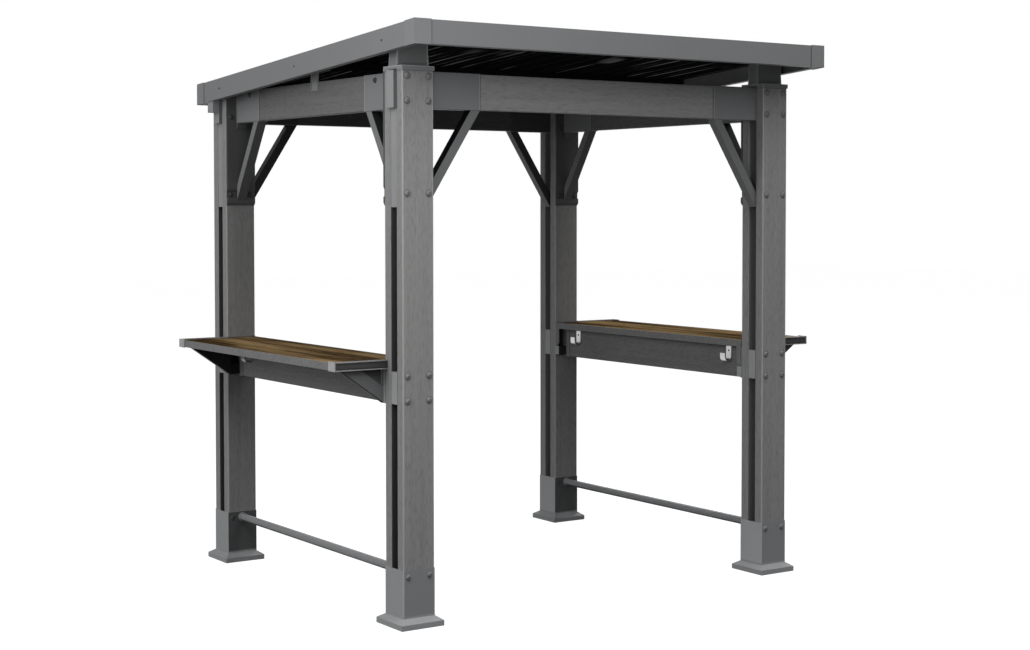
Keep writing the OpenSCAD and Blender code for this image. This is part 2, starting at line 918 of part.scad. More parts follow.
post_board(-1, -1, 1);  // post_front_left_outer_board
post_board(-1, -1, -1);  // post_front_left_inner_board
post_board(1, -1, 1);  // post_front_right_outer_board
post_board(1, -1, -1);  // post_front_right_inner_board
post_board(-1, 1, 1);  // post_rear_left_outer_board
post_board(-1, 1, -1);  // post_rear_left_inner_board
post_board(1, 1, 1);  // post_rear_right_outer_board
post_board(1, 1, -1);  // post_rear_right_inner_board
boot(-1, -1);  // boot_front_left
boot(1, -1);  // boot_front_right
boot(-1, 1);  // boot_rear_left
boot(1, 1);  // boot_rear_right
post_caps();
post_risers();
upper_spacers();
counter_spacers();
cross_beam(-1);  // beam_front
cross_beam(1);  // beam_rear
side_beam(-1);  // beam_left
side_beam(1);  // beam_right
cross_beam_sleeves(-1);  // beam_sleeves_front
cross_beam_sleeves(1);  // beam_sleeves_rear
side_beam_sleeves(-1);  // beam_sleeves_left
side_beam_sleeves(1);  // beam_sleeves_right
beam_end_caps();
hanger(-1, -1);  // hanger_front_left
hanger(1, -1);  // hanger_front_right
hanger(-1, 1);  // hanger_rear_left
hanger(1, 1);  // hanger_rear_right
cross_brace(-1, -1);  // brace_front_left
cross_brace(1, -1);  // brace_front_right
cross_brace(-1, 1);  // brace_rear_left
cross_brace(1, 1);  // brace_rear_right
side_brace(-1, -1);  // side_brace_front_left
side_brace(1, -1);  // side_brace_front_right
side_brace(-1, 1);  // side_brace_rear_left
side_brace(1, 1);  // side_brace_rear_right
cross_fascia(front_y, 1, "#747678");  // fascia_front
cross_fascia(rear_y, -1, "#747678");  // fascia_rear
side_fascia(-1);  // fascia_left
side_fascia(1);  // fascia_right
roof_corner_covers();
roof_panels();
purlins();
roof_tie_straps();
roof_tie_blocks();
counter_planks(-1);  // counter_planks_left
counter_planks(1);  // counter_planks_right
counter_frame(-1);  // counter_frame_left
counter_frame(1);  // counter_frame_right
apron(-1);  // apron_left
apron(1);  // apron_right
counter_brackets(-1);  // counter_brackets_left
counter_brackets(1);  // counter_brackets_right
tool_hooks();
footrest(-1);  // footrest_left
footrest(1);  // footrest_right
footrest_sockets();
bolts();
small_screws();
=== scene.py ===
# %% [markdown]
# A grill gazebo stands over a barbecue and its cook. Four posts, each made of two steel boards with a slot
# between them, carry beams, corner braces and a lean-to roof. A serving counter hangs on each side.
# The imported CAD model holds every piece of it, so this lesson is about finishes: how grey steel printed
# with wood grain, plain powder coat, oiled boards and brushed hooks get their looks from nodes alone.

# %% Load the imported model
import math

import bpy
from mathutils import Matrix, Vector


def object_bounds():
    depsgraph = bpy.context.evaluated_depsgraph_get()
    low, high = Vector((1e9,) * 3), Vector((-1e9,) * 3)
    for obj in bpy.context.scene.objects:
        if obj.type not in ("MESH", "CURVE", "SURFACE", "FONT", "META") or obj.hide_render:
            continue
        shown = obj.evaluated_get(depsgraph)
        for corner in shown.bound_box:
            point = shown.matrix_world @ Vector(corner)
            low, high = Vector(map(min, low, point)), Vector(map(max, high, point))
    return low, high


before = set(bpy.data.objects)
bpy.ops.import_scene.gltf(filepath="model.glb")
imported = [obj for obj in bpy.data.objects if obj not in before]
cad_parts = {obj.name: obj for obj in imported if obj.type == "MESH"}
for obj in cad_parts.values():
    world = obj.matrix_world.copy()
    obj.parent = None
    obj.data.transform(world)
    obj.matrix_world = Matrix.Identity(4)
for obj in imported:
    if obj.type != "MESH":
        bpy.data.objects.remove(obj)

cad_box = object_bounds()
cad_size = [round(v, 3) for v in cad_box[1] - cad_box[0]]
print("the CAD box is", cad_size, "m, with", len(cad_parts), "nodes")

# %% [markdown]
# The camera stands in front of the gazebo and to its left, at head height, with a long lens. Where it
# stands and how narrow its view is were worked out from the posts' edges and the roof's corners. The
# picture was cut off centre, and the camera's shift does the same.

# %% The camera
IMAGE_WIDTH, IMAGE_HEIGHT = 1030, 650
FOCAL_PIXELS = 1782.64
OPTICAL_CENTRE = (545.96, 269.95)
SENSOR_WIDTH = 36
CAMERA_PLACE = (-4.33898, -6.61213, 1.60696)
CAMERA_PITCH_DOWN, CAMERA_TURN = 2.0754, 34.689

camera = bpy.data.objects.new("camera", bpy.data.cameras.new("camera"))
camera.data.sensor_width = SENSOR_WIDTH
camera.data.lens = FOCAL_PIXELS / IMAGE_WIDTH * SENSOR_WIDTH
camera.data.shift_x = (IMAGE_WIDTH / 2 - OPTICAL_CENTRE[0]) / IMAGE_WIDTH
camera.data.shift_y = (OPTICAL_CENTRE[1] - IMAGE_HEIGHT / 2) / IMAGE_WIDTH
camera.location = CAMERA_PLACE
camera.rotation_euler = (math.radians(90 - CAMERA_PITCH_DOWN), 0, math.radians(-CAMERA_TURN))
bpy.context.scene.collection.objects.link(camera)
bpy.context.scene.camera = camera
bpy.context.scene.view_settings.view_transform = "Standard"
print("the lens is", round(camera.data.lens, 1), "mm")

# %% [markdown]
# A finish is a small network of nodes. Written out link by link it is long and hard to read, so a helper
# comes first. A Value stands for a number that changes over a surface, and plain arithmetic on it adds
# Math nodes.


# %% Arithmetic on shader values
class Value:
    """A shader output that Python's operators work on. a * b adds a Math node that multiplies, and so on."""

    def __init__(self, finish, socket):
        self.finish = finish
        self.socket = socket

    def maths(self, operation, *numbers):
        """The operation, applied to the numbers or values given."""
        node = self.finish.node("ShaderNodeMath", {"operation": operation}, dict(enumerate(numbers)))
        return Value(self.finish, node.outputs[0])

    def __add__(self, other):
        return self.maths("ADD", self, other)

    def __sub__(self, other):
        return self.maths("SUBTRACT", self, other)

    def __rsub__(self, other):
        return self.maths("SUBTRACT", other, self)

    def __mul__(self, other):
        return self.maths("MULTIPLY", self, other)

    def __pow__(self, other):
        return self.maths("POWER", self, other)

    __radd__ = __add__
    __rmul__ = __mul__

    def __abs__(self):
        return self.maths("ABSOLUTE", self)

    def sine(self):
        """The sine of the value."""
        return self.maths("SINE", self)

    def saw(self):
        """What is left of the value without its whole part, from 0 to 1."""
        return self.maths("FRACT", self)

    def least(self, other):
        """The smaller of the two values."""
        return self.maths("MINIMUM", self, other)

    def most(self, other):
        """The larger of the two values."""
        return self.maths("MAXIMUM", self, other)

    def step(self, low, high):
        """0 at low, 1 at high, and a smooth change between them. Low may be the larger number."""
        node = self.finish.node("ShaderNodeMapRange", {"interpolation_type": "SMOOTHSTEP"},
                                {"Value": self, "From Min": low, "From Max": high})
        return Value(self.finish, node.outputs["Result"])


print("made Value, for arithmetic on what shader nodes give")

# %% [markdown]
# A Finish is one material. Its node method makes every node, and the other methods name the few nodes that
# most finishes share. A point's place comes from Object coordinates, which are the model's own metres here,
# so a mask can say exactly where on the gazebo a highlight or a shade is painted. Most masks change
# between two places, so a pair of numbers below is where a mask is still 0, and where it is 1.

# %% A material and its nodes
PLAN_SHIFT = 0.0585  # the posts' middle lies this far behind the roof's
X, Y, Z = range(3)  # the axes, for a pattern or a mask that runs along one of them
FINE = 0.0004  # how far a band's soft ends reach to either side, in metres


class Finish:
    """One material. node() makes each of its nodes, and surface() ends it."""

    def __init__(self, name):
        self.material = bpy.data.materials.new(name)
        self.material.use_nodes = True
        self.tree = self.material.node_tree
        self.tree.nodes.clear()

    def node(self, kind, settings=None, inputs=None):
        """A new node. Its settings are made first, then its sockets get their values or links."""
        made = self.tree.nodes.new(kind)
        for key, value in (settings or {}).items():
            setattr(made, key, value)
        for key, value in (inputs or {}).items():
            value = getattr(value, "socket", value)
            if isinstance(value, bpy.types.NodeSocket):
                self.tree.links.new(value, made.inputs[key])
            else:
                made.inputs[key].default_value = value
        return made

    def place(self, axis=X, longer=1):
        """Where a point is, in metres. It is divided along the axis, which makes a pattern longer there."""
        scale = [1 / longer if i == axis else 1.0 for i in range(3)]
        coordinates = self.node("ShaderNodeTexCoord").outputs["Object"]
        return self.node("ShaderNodeMapping", None, {"Vector": coordinates, "Scale": scale}).outputs["Vector"]

    def split(self, vector):
        """The X, Y and Z of a vector."""
        parts = self.node("ShaderNodeSeparateXYZ", None, {"Vector": vector})
        return [Value(self, parts.outputs[name]) for name in "XYZ"]

    def distances(self, middle=PLAN_SHIFT):
        """How far a point is from the middle, to either side and to front or back, and its height."""
        x, y, z = self.split(self.node("ShaderNodeTexCoord").outputs["Object"])
        return abs(x), abs(y - middle), z

    def noise(self, place, waves, detail=2.0, roughness=0.5, distortion=0.0):
        """Smooth random numbers about 0.5, with so many waves to the metre."""
        node = self.node("ShaderNodeTexNoise", None, {"Vector": place, "Scale": waves, "Detail": detail,
                                                      "Roughness": roughness, "Distortion": distortion})
        return Value(self, node.outputs["Fac"])

    def stretched(self, axis, pattern, detail=2.0, distortion=0.0):
        """Noise from a pattern's two numbers: how many times longer it is along the axis, and its waves."""
        longer, waves = pattern
        return self.noise(self.place(axis, longer), waves, detail=detail, distortion=distortion)

    def blend(self, share, first, second):
        """The first colour where share is 0, the second where it is 1."""
        node = self.node("ShaderNodeMix", {"data_type": "RGBA"}, {0: share, 6: first, 7: second})
        return node.outputs[2]

    def layered(self, colour, layers, warmth=0.0, middle=PLAN_SHIFT):
        """The colour under some layers. A layer is a mask of the distances, and the grey where it is 1."""
        for mask, level in layers:
            colour = self.blend(mask(*self.distances(middle)), colour, grey(level, warmth))
        return colour

    def bump(self, height, distance):
        """The surface's normal, tilted as if the height, times the distance in metres, stood on it."""
        inputs = {"Height": height, "Distance": distance, "Strength": 1.0}
        return self.node("ShaderNodeBump", None, inputs).outputs["Normal"]

    def surface(self, colour, roughness, normal=None, **constants):
        """Ends the material with a Principled shader, and gives the material back."""
        inputs = {"Base Color": colour, "Roughness": roughness}
        if normal is not None:
            inputs["Normal"] = normal
        inputs.update({key.replace("_", " "): value for key, value in constants.items()})
        shader = self.node("ShaderNodeBsdfPrincipled", None, inputs)
        self.node("ShaderNodeOutputMaterial", None, {"Surface": shader.outputs[0]})
        return self.material


def grey(level, warmth=0.0):
    """A grey of that level, with red and blue moved apart by the warmth."""
    return (level * (1 + warmth), level, level * (1 - warmth), 1)


def band(value, low, high, soft=FINE):
    """1 between low and high, 0 outside, with soft ends."""
    return value.step(low - soft, low + soft) * value.step(high + soft, high - soft)


def tell(*materials):
    """Prints how many nodes each material took."""
    for material in materials:
        print(material.name, "has", len(material.node_tree.nodes), "nodes")


print("made Finish, and grey(0.5, 0.1) is", grey(0.5, 0.1))

# %% [markdown]
# The floor and the world are white to the camera, to mirrors and to glass. To every other ray the floor is
# dim grey and the world is black. So the picture has its white background, and the white doesn't light the
# gazebo from below. The floor still takes a little light, which lets the gazebo's shadow show on it.

# %% Floor and world
FLOOR_GREY, FLOOR_GLOW = 0.12, 0.992
FLOOR_SIZE = 60.0
WHITE = grey(1.0)


def white_to_camera(finish):
    """1 for rays that see the background, 0 for rays that light the object."""
    path = finish.node("ShaderNodeLightPath")
    camera_ray, glossy_ray, clear_ray = (Value(finish, path.outputs[name]) for name in
                                         ("Is Camera Ray", "Is Glossy Ray", "Is Transmission Ray"))
    return (camera_ray + glossy_ray + clear_ray).step(0.0, 1.0)


floor_finish = Finish("pale_floor")
lit = floor_finish.node("ShaderNodeBsdfDiffuse", None, {"Color": grey(FLOOR_GREY)})
pale = floor_finish.node("ShaderNodeEmission", None, {"Color": WHITE, "Strength": FLOOR_GLOW})
both = floor_finish.node("ShaderNodeAddShader", None, {0: lit.outputs[0], 1: pale.outputs[0]})
mixed = floor_finish.node("ShaderNodeMixShader", None, {0: white_to_camera(floor_finish), 1: lit.outputs[0],
                                                        2: both.outputs[0]})
floor_finish.node("ShaderNodeOutputMaterial", None, {"Surface": mixed.outputs[0]})

floor_half = FLOOR_SIZE / 2
floor_corners = [(x * floor_half, y * floor_half, 0) for x, y in ((-1, -1), (1, -1), (1, 1), (-1, 1))]
floor_mesh = bpy.data.meshes.new("floor")
floor_mesh.from_pydata(floor_corners, [], [(0, 1, 2, 3)])
floor_mesh.materials.append(floor_finish.material)
floor = bpy.data.objects.new("floor", floor_mesh)
bpy.context.scene.collection.objects.link(floor)


class Sky(Finish):
    """The world's own nodes, worked like a material's."""

    def __init__(self):
        world = bpy.data.worlds.new("studio")
        bpy.context.scene.world = world
        world.use_nodes = True
        self.tree = world.node_tree
        self.tree.nodes.clear()


sky = Sky()
background = sky.node("ShaderNodeBackground", None, {"Color": WHITE, "Strength": white_to_camera(sky)})
sky.node("ShaderNodeOutputWorld", None, {"Surface": background.outputs[0]})
print("the floor is", FLOOR_SIZE, "m wide")

# %% [markdown]
# Three large soft lamps at three heights light the posts' left faces evenly from boot to cap. Two big ones
# in front and one to the right of them light the front faces, and the roof keeps the higher ones' light from
# the rear posts. Two small lamps stand near the front left post, one before it and one to its left, because
# the photograph is brightest there: their light falls off towards the back of the gazebo. The last lamp
# stands behind, for the faces turned away.

# %% Lamps
MIDDLE = (0.0, 0.0, 1.1)
BROAD, SMALL = 5.0, 1.2
LAMPS = {  # name: (place, what it looks at, size in metres, power in watts)
    "left_low": ((-8.9, 0.4, 1.9), MIDDLE, BROAD, 222),
    "left_middle": ((-8.3, 0.2, 4.5), MIDDLE, BROAD, 150),
    "left_high": ((-5.8, -1.2, 7.9), MIDDLE, BROAD, 180),
    "front_middle": ((0.8, -6.8, 6.9), MIDDLE, BROAD, 300),
    "front_high": ((0.0, -3.1, 9.6), MIDDLE, BROAD, 380),
    "right_high": ((4.1, -4.1, 8.0), MIDDLE, BROAD, 94),
    "front_near": ((-1.7, -2.6, 1.9), (-0.9, -0.8, 1.7), SMALL, 15),
    "left_near": ((-2.4, -1.6, 3.0), (-0.9, -0.8, 2.0), SMALL, 12),
    "behind": ((5.2, 5.2, 5.6), MIDDLE, BROAD, 500),
}


def lamp(name, place, target, size, power):
    """A square lamp of that size, that faces its target and isn't seen itself."""
    data = bpy.data.lights.new(name, "AREA")
    data.size = size
    data.energy = power
    made = bpy.data.objects.new(name, data)
    made.location = place
    made.rotation_euler = (Vector(target) - Vector(place)).to_track_quat("-Z", "Y").to_euler()
    made.visible_camera = False
    bpy.context.scene.collection.objects.link(made)
    return made


lamps = [lamp(name, *facts) for name, facts in LAMPS.items()]
print(len(lamps), "lamps, of", sum(made.data.energy for made in lamps), "watts in all")

# %% [markdown]
# The boards and beams are steel with a wood grain printed under a matt lacquer. A real tree's rings, cut
# lengthways, show as long nested arches. Here a random height is stretched along the member, and its
# contour lines make those arches. Small flecks break the lines up, and long streaks run through them.

# %% A printed wood grain
GRAIN = {  # pattern: (how many times longer along the grain, waves to the metre across it)
    "hills": (6, 7.0),
    "flecks": (5, 150.0),
    "streaks": (40, 60.0),
    "fibres": (30, 420.0),
}
CONTOURS, HILLS_DISTORTION = 24, 0.4  # so many contour lines to a unit of the hills' height
FLECKS = (0.44, 0.62)
RING_SHARE, STREAK_SHARE, FIBRE_SHARE, PRINT_BASE = 0.34, 0.65, 0.25, 0.28
RING_DEPTH, FIBRE_HEIGHT = 0.7, 0.6
LIGHT_PRINT, DARK_PRINT, PRINT_WARMTH, PRINT_HEIGHT = 1.2, 0.72, 0.006, 0.0005
LACQUER_ROUGHNESS, LACQUER_SHEEN = 0.62, 0.06


def grain(finish, axis):
    """How dark the print is, about 0.4, and its height. The grain runs along the axis."""
    hills = finish.stretched(axis, GRAIN["hills"], detail=1.0, distortion=HILLS_DISTORTION)
    rings = (hills * (2 * math.pi * CONTOURS)).sine() * 0.5 + 0.5
    flecks = finish.stretched(axis, GRAIN["flecks"], detail=1.0).step(*FLECKS)
    streaks = finish.stretched(axis, GRAIN["streaks"])
    fibres = finish.stretched(axis, GRAIN["fibres"], detail=1.0)
    dark = (rings * RING_DEPTH + (1 - RING_DEPTH)) * flecks * RING_SHARE + PRINT_BASE \
        + (streaks - 0.5) * STREAK_SHARE + (fibres - 0.5) * FIBRE_SHARE
    return dark, 0.0 - flecks * rings - fibres * FIBRE_HEIGHT


def grain_steel(name, axis, level, *layers):
    """Steel of that grey with the print, some layers over it, and a matt lacquer."""
    finish = Finish(name)
    dark, height = grain(finish, axis)
    printed = finish.blend(dark, grey(level * LIGHT_PRINT, PRINT_WARMTH), grey(level * DARK_PRINT))
    return finish.surface(finish.layered(printed, layers), LACQUER_ROUGHNESS,
                          finish.bump(height, PRINT_HEIGHT), Specular_IOR_Level=LACQUER_SHEEN)


APRON_GREY = 0.140
apron_grain = grain_steel("apron_grain", Y, APRON_GREY)
tell(apron_grain)

# %% [markdown]
# Under the roof, the faces that the front and rear members turn to each other are darker than soft lamps
# alone make them, so a mask paints shade on the cross beams there. Another mask paints a thin shadow line
# on a beam where its sleeve ends.

# %% Beams
POST_X, POST_Y = 0.899, 0.784  # a post's middle, to the side and to front or back
BEAM_HALF = 0.0203
CROSS_SLEEVE_END, SIDE_SLEEVE_END, SHADOW_LINE_WIDTH = 0.591, 0.476, 0.004
# one print in two greys: the difference is painted light, for how light falls on cross and side beams
CROSS_BEAM_GREY, SIDE_BEAM_GREY = 0.238, 0.134
PAINTED_SHADE_GREY, PAINTED_SHADE_SHARE = 0.01, 0.7
SOFT = 0.001  # how far a coarser mask's edge reaches, in metres


def inner_face_shade(reach):
    """The mask of painted shade on the faces that front and rear members turn to each other, so far from a
    post's middle.
    """
    return lambda x, y, z: y.step(POST_Y - reach + SOFT, POST_Y - reach)


def sleeve_end_shadow(axis, end):
    """The mask of a painted shadow line round a beam, beside the end of its sleeve."""
    return lambda *place: band(place[axis], end - SHADOW_LINE_WIDTH, end + SOFT, SOFT)


def painted_shade_layer(mask):
    """A layer of painted shade, nearly black where the mask is 1, that lets some of the print through."""
    return (lambda *place: mask(*place) * PAINTED_SHADE_SHARE), PAINTED_SHADE_GREY


cross_beam_grain = grain_steel("cross_beam_grain", X, CROSS_BEAM_GREY,
                               painted_shade_layer(sleeve_end_shadow(X, CROSS_SLEEVE_END)), painted_shade_layer(inner_face_shade(BEAM_HALF)))
side_beam_grain = grain_steel("side_beam_grain", Y, SIDE_BEAM_GREY, painted_shade_layer(sleeve_end_shadow(Y, SIDE_SLEEVE_END)))
tell(cross_beam_grain, side_beam_grain)

# %% [markdown]
# A post's boards need four more things. Painted shade makes the slot between them nearly black inside, but
# less so where it opens to the middle of the gazebo. A painted highlight makes a light line down each outer
# corner. Painted shadow rings sit round every bolt, and a thin painted shadow lies under the cap. All of
# them are masks worked out from the place of a point: its distance from the post's middle, and its height.

# %% Post boards
BOARD_GREY, BOARD_HIGHLIGHT_GREY, SLOT_SHADE_GREY, INNER_SLOT_SHADE_GREY = 0.215, 0.3225, 0.06, 0.165
BOARD_CORNER, SLOT_WALL, BOLTED_FACE = (0.062, 0.064), (0.0229, 0.0222), (0.060, 0.066)
CAP_SHADOW, INNER_SIDE = (2.1125, 2.1145), (0.899, 0.889)
HIGHLIGHT_SHARE, BOLT_SHADOW_SHARE, CAP_SHARE = 0.75, 0.5, 0.6
BOLT_SIDE, BOLT_RADIUS, BOLT_SHADOW_WIDTH = 0.047, 0.012, 0.006
BOLT_ROWS = (2.095, 2.001, 1.652, 0.960, 0.865, 0.196)


def upright_corners(x, y, side, depth):
    """The upright corners of a piece round a post. Side and depth are pairs, from the post's middle."""
    return abs(x - POST_X).step(*side) * abs(y - POST_Y).step(*depth)


def board_corner_highlight(x, y, z):
    """The painted highlight down the outer corners of a post's boards."""
    return upright_corners(x, y, BOARD_CORNER, BOARD_CORNER) * HIGHLIGHT_SHARE


def bolt_shadow_rings(x, y, z):
    """Painted shadow rings round the bolts, on a post's front and back: by the squared distance from the
    nearest axis.
    """
    rows = abs(z - BOLT_ROWS[0])
    for row in BOLT_ROWS[1:]:
        rows = rows.least(abs(z - row))
    squared = abs(abs(x - POST_X) - BOLT_SIDE) ** 2 + rows ** 2
    ring = squared.step((BOLT_RADIUS + BOLT_SHADOW_WIDTH) ** 2, BOLT_RADIUS ** 2)
    return ring * abs(y - POST_Y).step(*BOLTED_FACE)


def slot(x, y, z):
    """The walls of the slot between a post's boards, where shade is painted."""
    return abs(y - POST_Y).step(*SLOT_WALL)


def painted_shade_places(x, y, z):
    """The painted shade in the slot, the shadow rings round the bolts and the shadow under the cap."""
    return slot(x, y, z).most(bolt_shadow_rings(x, y, z) * BOLT_SHADOW_SHARE).most(z.step(*CAP_SHADOW) * CAP_SHARE)


def inner_slot(x, y, z):
    """The half of the slot that is nearer to the middle of the gazebo, where the painted shade is lighter."""
    return slot(x, y, z) * x.step(*INNER_SIDE)


post_grain = grain_steel("post_grain", Z, BOARD_GREY, (board_corner_highlight, BOARD_HIGHLIGHT_GREY), (painted_shade_places, SLOT_SHADE_GREY),
                         (inner_slot, INNER_SLOT_SHADE_GREY))
tell(post_grain)

# %% [markdown]
# Boots, sleeves, braces and fascias are plain powder coat. The powder melts into a skin with tiny waves,
# like orange peel, and its colour and sheen change a little from place to place.

# %% Plain powder coat
CLOUD_WAVES, SPECK_WAVES, PEEL_WAVES = 6.0, 260.0, 700.0
CLOUD_SHARE, SPECK_SHARE, COAT_DARK, COAT_LIGHT = 0.5, 0.25, 0.9, 1.1
PEEL_HEIGHT, COAT_WARMTH, COAT_ROUGHNESS, ROUGHNESS_CHANGE, COAT_SHEEN = 0.00012, -0.02, 0.5, 0.2, 0.08


def powder(finish, level, warmth=COAT_WARMTH):
    """The colour of the coat, its clouds and the height of its fine waves."""
    place = finish.place()
    cloud = finish.noise(place, CLOUD_WAVES, detail=3.0)
    speck = finish.noise(place, SPECK_WAVES, detail=1.0)
    peel = finish.noise(place, PEEL_WAVES, detail=1.0)
    shade = (cloud - 0.5) * CLOUD_SHARE + (speck - 0.5) * SPECK_SHARE + 0.5
    return finish.blend(shade, grey(level * COAT_DARK, warmth), grey(level * COAT_LIGHT, warmth)), cloud, peel


def powder_coat(name, level, *layers, roughness=COAT_ROUGHNESS, warmth=COAT_WARMTH, sheen=COAT_SHEEN,
                middle=PLAN_SHIFT):
    """A smooth coat of that grey, with some layers over it."""
    finish = Finish(name)
    colour, cloud, peel = powder(finish, level, warmth)
    return finish.surface(finish.layered(colour, layers, warmth, middle),
                          (cloud - 0.5) * ROUGHNESS_CHANGE + roughness,
                          finish.bump(peel, PEEL_HEIGHT), Specular_IOR_Level=sheen)


# each coat's name and its grey
smooth_coat = powder_coat("smooth_coat", 0.2)
# the upper and counter spacers are one coat in two greys, which paint in the different light on them
upper_spacer_coat = powder_coat("upper_spacer_coat", 0.246)
counter_spacer_coat = powder_coat("counter_spacer_coat", 0.284)
strap_coat = powder_coat("strap_coat", 0.23)
cover_coat = powder_coat("cover_coat", 0.185)
screw_coat = powder_coat("screw_coat", 0.03, roughness=0.45, warmth=0.0)
purlin_coat = powder_coat("purlin_coat", 0.014, roughness=0.7, warmth=0.0, sheen=0.0)
tell(smooth_coat, upper_spacer_coat, counter_spacer_coat, strap_coat, cover_coat, screw_coat, purlin_coat)

# %% [markdown]
# Painted highlights make edges light: down the corners of caps, risers and boots, and at the ends of the
# sleeves. These masks find those edges from the distance to the post's middle.

# %% Painted edge highlights
CAP_CORNER, CAP_EDGE = (0.0675, 0.069), (2.1300, 2.1308)
RISER_SIDE, RISER_DEPTH = (0.0625, 0.0635), (0.0255, 0.0270)
BOOT_CORNER, ABOVE_FOOT = (0.0645, 0.0660), (0.040, 0.050)
CROSS_SLEEVE_HIGHLIGHT, SIDE_SLEEVE_HIGHLIGHT = (0.5955, 0.5945), (0.4805, 0.4795)


def sleeve_end_highlights(x, y, z):
    """The painted highlight on the last millimetres of every sleeve: of the cross beams' along X, and of the
    side beams' along Y.
    """
    return x.step(*CROSS_SLEEVE_HIGHLIGHT).most(y.step(*SIDE_SLEEVE_HIGHLIGHT))


def cap_edge_highlights(x, y, z):
    """The painted highlight on the upper edge of a post's cap, and on its upright corners."""
    return upright_corners(x, y, CAP_CORNER, CAP_CORNER).most(z.step(*CAP_EDGE))


def riser_corner_highlights(x, y, z):
    """The painted highlight on the upright corners of a riser."""
    return upright_corners(x, y, RISER_SIDE, RISER_DEPTH)


def boot_corner_highlights(x, y, z):
    """The painted highlight on the upright corners of a boot, above its foot."""
    return upright_corners(x, y, BOOT_CORNER, BOOT_CORNER) * z.step(*ABOVE_FOOT)


# each coat's name, its grey, and its layers: a mask and the grey where it is 1
post_cap_coat = powder_coat("post_cap_coat", 0.19, (cap_edge_highlights, 0.29))
riser_coat = powder_coat("riser_coat", 0.16, (riser_corner_highlights, 0.30))
tell(post_cap_coat, riser_coat)

# %% [markdown]
# Other faces of the coated pieces are darker or lighter than soft lamps alone make them, so shade and light
# are painted on. Painted shade darkens the faces that look back into the gazebo, a footrest's underside,
# an end cap's narrow sides and a boot's outer end. Painted light makes a boot's inner side lighter. Each has
# a mask of its own.

# %% Painted shade and light on faces
SLEEVE_HALF, HANGER_HALF, BOLT_REACH = 0.0220, 0.0675, 0.0685
BOOT_OUTER_END, BOOT_INNER_SIDE = (0.8505, 0.8515), (0.8325, 0.8315)
BOOT_INNER_END = (0.714, 0.716)  # a band, from the one to the other
FOOTREST_LOWER_THIRD = (0.193, 0.188)
END_CAP_SIDE, SLEEVE_INNER_END = (0.0272, 0.0278), (0.839, 0.833)
COAT_SHADE = 0.05


def boot_outer_end_shade(x, y, z):
    """The painted shade on the face that a boot turns away from the gazebo, to the front or the rear, above
    its foot.
    """
    return y.step(*BOOT_OUTER_END) * z.step(*ABOVE_FOOT)


def boot_inner_side_light(x, y, z):
    """The painted light on the face that a boot turns to the other side's boot, above its foot."""
    return x.step(*BOOT_INNER_SIDE) * z.step(*ABOVE_FOOT)


def boot_inner_end_shade(x, y, z):
    """The painted shade on the face that a boot turns to the boot before or behind it, above its foot."""
    return band(y, *BOOT_INNER_END) * z.step(*ABOVE_FOOT)


def footrest_underside_shade(x, y, z):
    """The painted shade on the lower third of a footrest's tube."""
    return z.step(*FOOTREST_LOWER_THIRD)


def end_cap_side_shade(x, y, z):
    """The painted shade on the narrow sides of a beam's end cap."""
    return abs(y - POST_Y).step(*END_CAP_SIDE)


def inner_sleeve_shade(x, y, z):
    """The painted shade on the faces that the cross beams' sleeves turn to each other."""
    return inner_face_shade(SLEEVE_HALF)(x, y, z) * x.step(*SLEEVE_INNER_END)


sleeve_coat = powder_coat("sleeve_coat", 0.18, (sleeve_end_highlights, 0.28), (inner_sleeve_shade, COAT_SHADE))
boot_coat = powder_coat("boot_coat", 0.265, (boot_outer_end_shade, 0.205), (boot_inner_side_light, 0.34),
                        (boot_corner_highlights, 0.36), (boot_inner_end_shade, 0.075))
footrest_coat = powder_coat("footrest_coat", 0.21, (footrest_underside_shade, 0.04))
hanger_coat = powder_coat("hanger_coat", 0.2, (inner_face_shade(HANGER_HALF), 0.08))
end_cap_coat = powder_coat("end_cap_coat", 0.24, (end_cap_side_shade, 0.12))
bolt_coat = powder_coat("bolt_coat", 0.165, (inner_face_shade(BOLT_REACH), COAT_SHADE), roughness=0.45, warmth=0.0)
tell(sleeve_coat, boot_coat, footrest_coat, hanger_coat, end_cap_coat, bolt_coat)

# %% [markdown]
# Painted shade darkens a brace's upper face, which lies under its beam, a side brace's lower face, and the
# faces that the front and rear braces turn to each other. A brace slopes, so its masks measure the distance
# from the plane of its lower face. The plane starts at the brace's foot on the post and rises by the drop
# over the run.

# %% Braces
BRACE_FOOT, BRACE_RUN, BRACE_DROP, BRACE_DEPTH = 1.600, 0.241, 0.377, 0.037
CROSS_BRACE_FACE, SIDE_BRACE_FACE, BRACE_HALF = POST_X - 0.068, POST_Y - 0.058, 0.0200
UPPER_FACE, LOWER_FACE = (BRACE_DEPTH - 0.0012, BRACE_DEPTH - 0.0006), (0.0012, 0.0006)


def height_over(slope, run, rise):
    """Distance from a sloping plane, of a point that lies the run along it and the rise above its start."""
    return (rise - run * slope) * (1 / math.hypot(1, slope))


def brace_face_shade(post_face, axis, reach):
    """The mask of the painted shade on a brace's upper or lower face. The brace leaves the post's face along
    the axis.
    """
    def mask(*place):
        run, rise = post_face - place[axis], place[Z] - BRACE_FOOT
        return height_over(BRACE_DROP / BRACE_RUN, run, rise).step(*reach)
    return mask


cross_brace_coat = powder_coat("cross_brace_coat", 0.14, (brace_face_shade(CROSS_BRACE_FACE, X, UPPER_FACE), 0.004),
                               (inner_face_shade(BRACE_HALF), 0.03))
side_brace_coat = powder_coat("side_brace_coat", 0.165, (brace_face_shade(SIDE_BRACE_FACE, Y, UPPER_FACE), 0.02),
                              (brace_face_shade(SIDE_BRACE_FACE, Y, LOWER_FACE), 0.08))
tell(cross_brace_coat, side_brace_coat)

# %% [markdown]
# Thin painted shadow lines lie on the fascias along the corner covers' ends. The roof isn't over the middle
# of the posts, so the fascias' masks measure from the roof's own middle.

